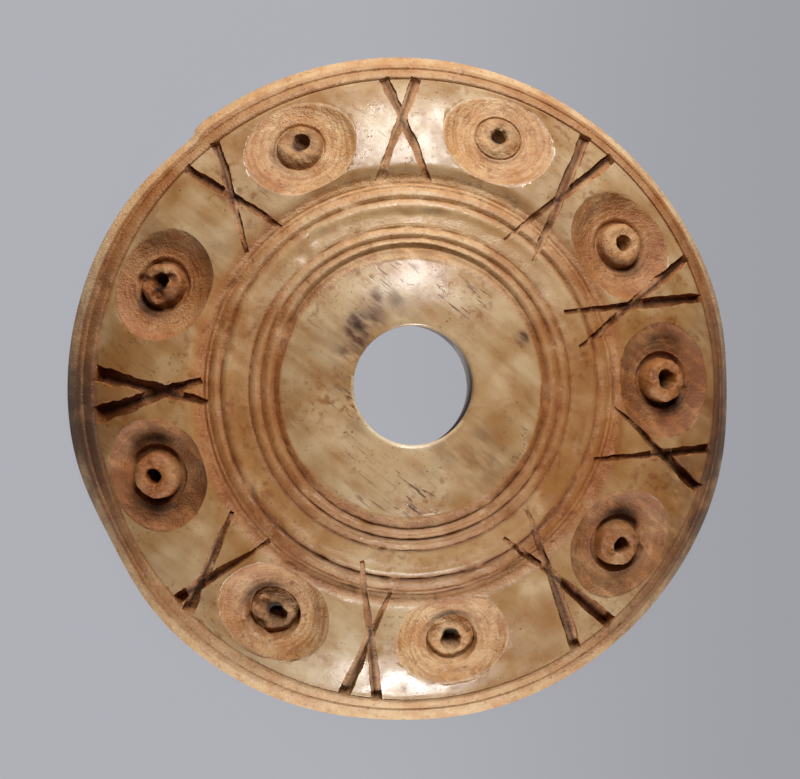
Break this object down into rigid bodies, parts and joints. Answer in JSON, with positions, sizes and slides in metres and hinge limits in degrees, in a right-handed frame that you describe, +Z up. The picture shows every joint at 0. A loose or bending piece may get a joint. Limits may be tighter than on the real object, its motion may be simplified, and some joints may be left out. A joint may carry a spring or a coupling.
{
  "type": "bone spindle whorl",
  "caption": "Low domed bone disc with a central spindle hole, turned rings round it, and a border of drilled ring-and-dot eyes and small hand-cut crosses.",
  "frame": {"origin": "middle of the flat underside", "axes": "+Z up through the disc from the flat underside to the domed, decorated face; +Y towards one cross of the border, +X to its right"},
  "size_m": [0.036, 0.036, 0.0065],
  "materials": {
    "bone": "old polished bone, cream to tan, satin to glossy on the skin and matt in the cuts"
  },
  "bodies": {
    "root": {"whorl": "bone"}
  },
  "joints": []
}
